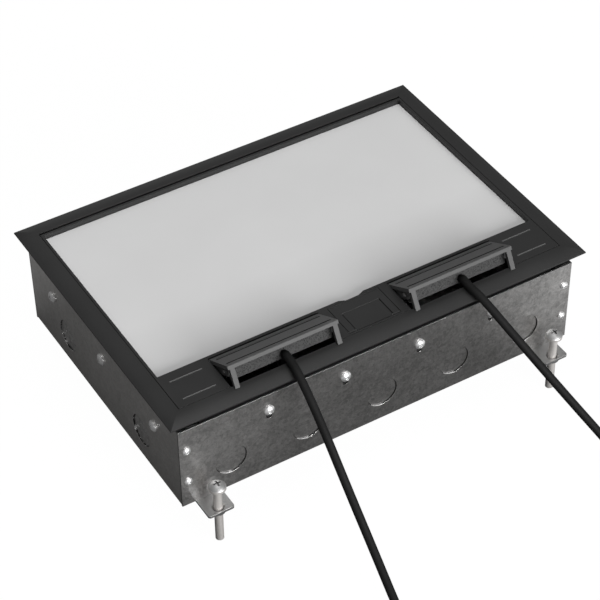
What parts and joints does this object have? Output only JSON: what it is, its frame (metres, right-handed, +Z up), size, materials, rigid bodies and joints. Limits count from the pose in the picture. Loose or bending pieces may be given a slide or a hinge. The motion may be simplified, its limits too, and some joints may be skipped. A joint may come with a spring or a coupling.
{
  "type": "floor socket box",
  "caption": "Floor outlet box of galvanised sheet with a height-adjustable trim frame, hinged lid, cable flaps, levelling feet, socket modules and leads",
  "frame": {"origin": "on the floor under the centre of the box, level with the tips of the levelling screws", "axes": "+X along the long side, to the right seen from the flap side; +Y to the lid's hinge; +Z up"},
  "size_m": [0.4191, 0.38, 0.1069],
  "materials": {
    "galvanised_sheet": "zinc-coated sheet steel, mottled, semi-gloss",
    "bright_zinc": "bright zinc plate",
    "bracket_zinc": "zinc-plated steel, smooth",
    "satin_screw": "zinc-plated steel, satin",
    "dark_plastic": "fine-grained moulded plastic, dark grey",
    "light_panel": "smooth pale grey panel",
    "steel_pin": "turned steel",
    "flap_plastic": "fine-grained moulded plastic, dark grey",
    "foam": "cellular foam strip",
    "module_white": "smooth white plastic",
    "brass": "turned brass",
    "black_plastic": "moulded black plastic",
    "black_cord": "black round flexible cord"
  },
  "bodies": {
    "box": {"base_tray": "galvanised_sheet", "front_panel": "galvanised_sheet", "rear_panel": "galvanised_sheet", "panel_screws": "bright_zinc", "foot_brackets": "bracket_zinc", "bracket_rivets": "bright_zinc", "side_rails": "galvanised_sheet", "rail_screws": "bright_zinc", "device_carrier": "galvanised_sheet", "carrier_screws": "bright_zinc", "socket_left": "module_white", "socket_right": "module_white", "data_module": "module_white", "blank_modules": "module_white", "earth_stud": "brass", "earth_nut": "brass", "left_plug": "black_plastic", "right_plug": "black_plastic", "left_cord": "black_cord", "right_cord": "black_cord", "left_cord_coil": "black_cord", "right_cord_coil": "black_cord", "left_connector": "black_plastic", "right_connector": "black_plastic"},
    "trim_unit": {"trim_frame": "dark_plastic", "clamp_frame": "dark_plastic", "clamp_screws": "bright_zinc", "lid_hinge_pins": "steel_pin"},
    "lid": {"lid_tray": "dark_plastic", "lid_inlay": "light_panel", "flap_pin_left": "steel_pin", "flap_pin_right": "steel_pin", "handle_pin": "steel_pin"},
    "left_flap": {"flap_left": "flap_plastic", "flap_foam_left": "foam"},
    "right_flap": {"flap_right": "flap_plastic", "flap_foam_right": "foam"},
    "lifting_handle": {"handle": "dark_plastic"},
    "foot_front_left": {"levelling_screw_front_left": "satin_screw"},
    "foot_front_right": {"levelling_screw_front_right": "satin_screw"},
    "foot_rear_left": {"levelling_screw_rear_left": "satin_screw"},
    "foot_rear_right": {"levelling_screw_rear_right": "satin_screw"}
  },
  "joints": [
    {"name": "height_adjustment", "type": "slide", "parent": "box", "child": "trim_unit", "axis": [0, 0, 1], "range_m": [-0.0035, 0]},
    {"name": "lid_hinge", "type": "hinge", "parent": "trim_unit", "child": "lid", "pos_m": [0, 0.0832, 0.093], "axis": [-1, 0, 0], "range_deg": [0, 95]},
    {"name": "left_flap_hinge", "type": "hinge", "parent": "lid", "child": "left_flap", "pos_m": [-0.0589, -0.0613, 0.094], "axis": [1, 0, 0], "range_deg": [0, 6]},
    {"name": "right_flap_hinge", "type": "hinge", "parent": "lid", "child": "right_flap", "pos_m": [0.0589, -0.0613, 0.094], "axis": [1, 0, 0], "range_deg": [0, 6]},
    {"name": "handle_hinge", "type": "hinge", "parent": "lid", "child": "lifting_handle", "pos_m": [0, -0.0828, 0.094], "axis": [1, 0, 0], "range_deg": [0, 70]},
    {"name": "levelling_front_left", "type": "slide", "parent": "box", "child": "foot_front_left", "axis": [0, 0, 1], "range_m": [-0.014, 0.022]},
    {"name": "levelling_front_right", "type": "slide", "parent": "box", "child": "foot_front_right", "axis": [0, 0, 1], "range_m": [-0.014, 0.022]},
    {"name": "levelling_rear_left", "type": "slide", "parent": "box", "child": "foot_rear_left", "axis": [0, 0, 1], "range_m": [-0.014, 0.022]},
    {"name": "levelling_rear_right", "type": "slide", "parent": "box", "child": "foot_rear_right", "axis": [0, 0, 1], "range_m": [-0.014, 0.022]}
  ]
}
